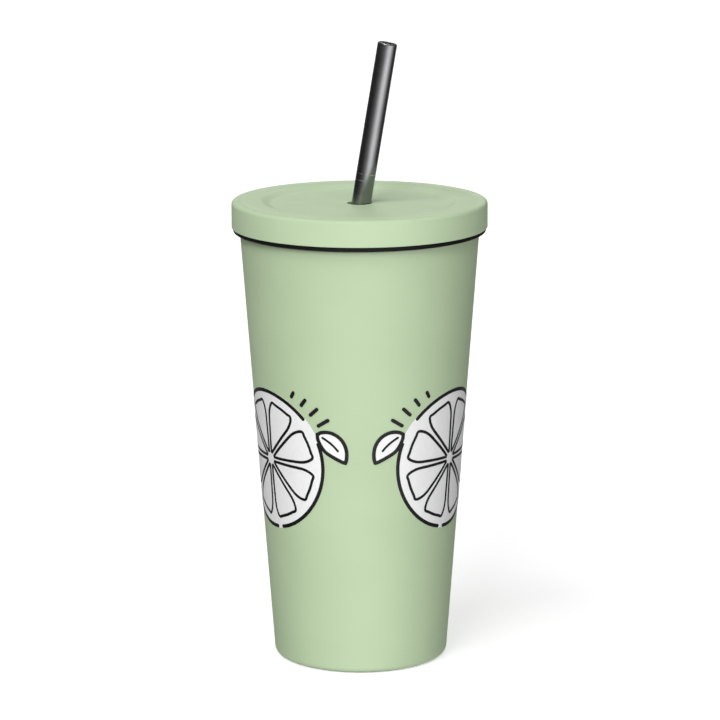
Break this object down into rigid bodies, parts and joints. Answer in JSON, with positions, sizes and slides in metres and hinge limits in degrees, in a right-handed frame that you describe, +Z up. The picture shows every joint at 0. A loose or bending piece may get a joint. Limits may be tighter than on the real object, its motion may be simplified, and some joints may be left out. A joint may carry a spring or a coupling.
{
  "type": "insulated tumbler",
  "caption": "Tapered vacuum-insulated steel tumbler with a flat push-in lid, a silicone lid seal and a leaning metal straw.",
  "frame": {"origin": "centre of the foot ring, on the surface that the cup stands on", "axes": "+Z up along the cup's axis, +X the way the straw leans, -Y towards the viewer of the printed side"},
  "size_m": [0.105, 0.105, 0.2566],
  "materials": {
    "coat_green": "satin powder coat",
    "bare_steel": "brushed inside, polished at the rim and base",
    "lid_green": "satin, fine moulded texture",
    "plug_black": "matt",
    "silicone_black": "matt",
    "straw_dark": "dark coated steel, polished",
    "sealing_glass": "glossy, opaque",
    "getter_metal": "sintered, matt",
    "print_white": "satin ink",
    "print_black": "satin ink"
  },
  "bodies": {
    "cup": {"outer_shell": "coat_green", "inner_liner": "bare_steel", "liner_bottom": "bare_steel", "shell_base": "bare_steel", "vacuum_bead": "sealing_glass", "getter_bracket": "bare_steel", "getter_pill": "getter_metal"},
    "seal": {"lid_seal": "silicone_black"},
    "lid": {"lid_cover": "lid_green", "lid_insert": "plug_black"},
    "grommet": {"straw_grommet": "silicone_black"},
    "straw": {"straw": "straw_dark"}
  },
  "joints": [
    {"name": "lid_lift", "type": "slide", "parent": "cup", "child": "seal", "axis": [0, 0, 1], "range_m": [0, 0.18]},
    {"name": "lid_turn", "type": "hinge", "parent": "seal", "child": "lid", "pos_m": [0, 0, 0.1806], "axis": [0, 0, 1], "continuous": true},
    {"name": "straw_swing", "type": "hinge", "parent": "lid", "child": "grommet", "pos_m": [0, 0, 0.1859], "axis": [0, 0, 1], "continuous": true},
    {"name": "straw_pull", "type": "slide", "parent": "grommet", "child": "straw", "axis": [0.1633, 0, 0.9866], "range_m": [0, 0.185]}
  ]
}
